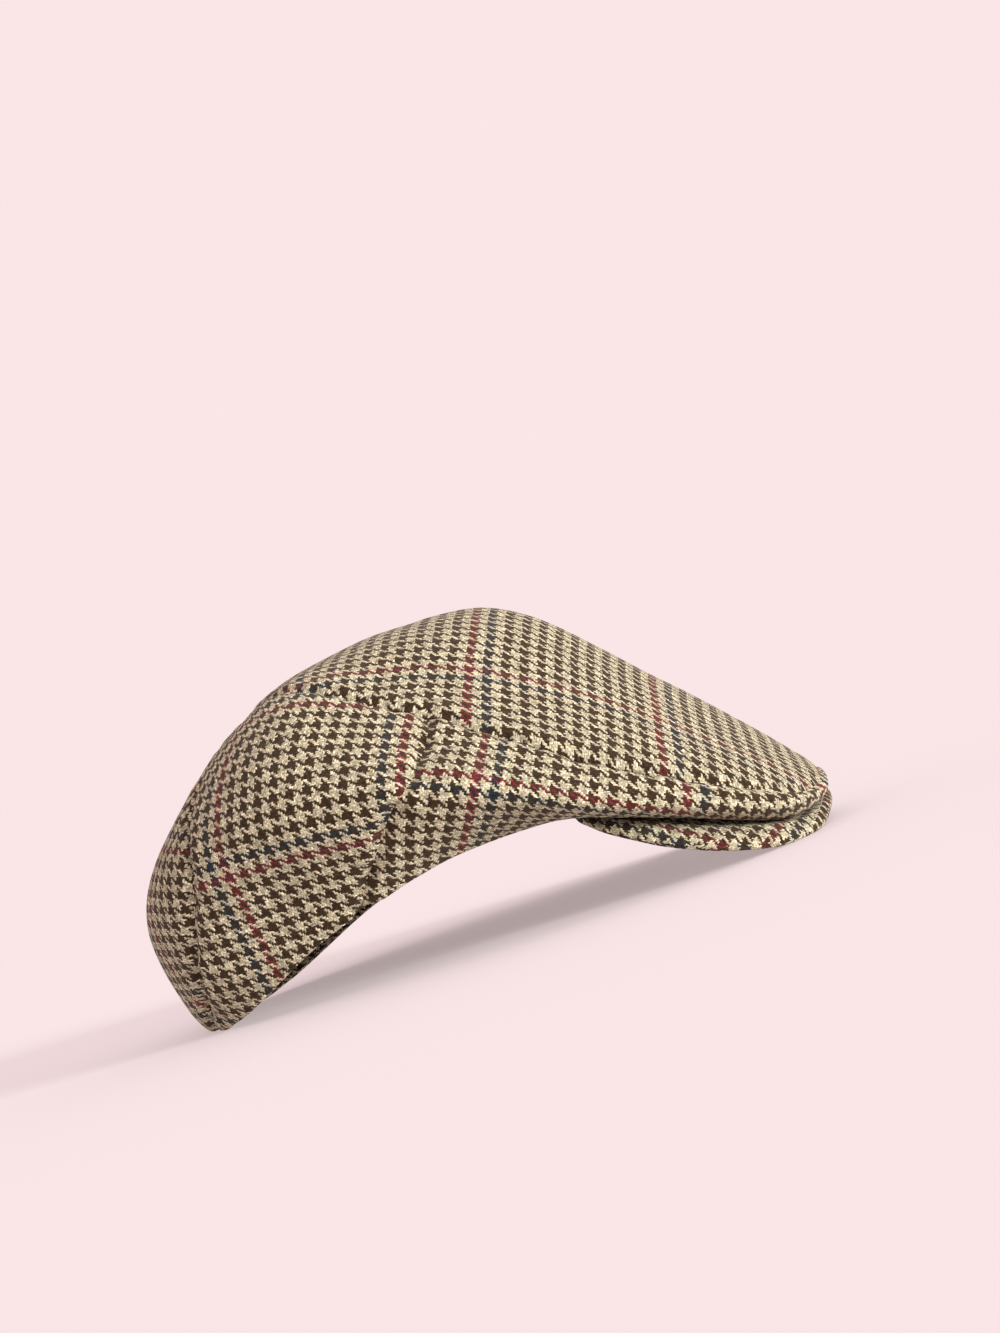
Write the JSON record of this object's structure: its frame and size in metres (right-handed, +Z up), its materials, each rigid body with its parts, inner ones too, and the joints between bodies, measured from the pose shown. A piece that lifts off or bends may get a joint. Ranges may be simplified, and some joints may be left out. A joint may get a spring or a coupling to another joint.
{
  "type": "flat cap",
  "caption": "Soft flat cap with a low crown sewn from curved panels that folds forward over a short stiff peak, lying on its rear rim and the corners of the peak.",
  "frame": {"origin": "on the surface the cap lies on, under the middle of its bounding box", "axes": "+Z up, -Y towards the front of the peak, -X towards the wearer's right"},
  "size_m": [0.2142, 0.2564, 0.1195],
  "materials": {
    "tweed": "heavy woollen twill in a brown and cream houndstooth with a dull red and navy overcheck"
  },
  "bodies": {
    "root": {"top_panel": "tweed", "side_front_right": "tweed", "side_front_left": "tweed", "side_back_right": "tweed", "side_back_left": "tweed", "back_panel": "tweed", "peak": "tweed"}
  },
  "joints": []
}
